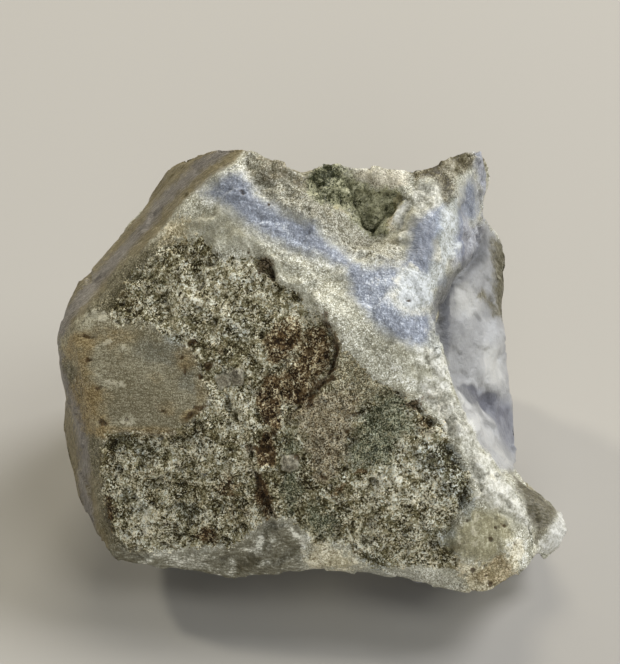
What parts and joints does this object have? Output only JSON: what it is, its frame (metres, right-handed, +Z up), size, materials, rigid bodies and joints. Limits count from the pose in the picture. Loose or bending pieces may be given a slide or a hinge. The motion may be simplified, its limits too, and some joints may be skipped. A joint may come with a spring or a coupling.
{
  "type": "blue lace agate hand specimen",
  "caption": "Broken chunk of blue lace agate in its host rock, with a broad banded face, a pitted top, a hollow behind a free rim, and a flat spot to rest on.",
  "frame": {"origin": "middle of the bounding box in plan, at the height of the flat spot it rests on", "axes": "+X along the longest side of the stone, -Y and up is the way the broad banded face looks, +Z up"},
  "size_m": [0.0836, 0.0716, 0.0637],
  "materials": {
    "agate": "rough broken stone, waxy on the chalcedony"
  },
  "bodies": {
    "root": {"agate_stone": "agate"}
  },
  "joints": []
}
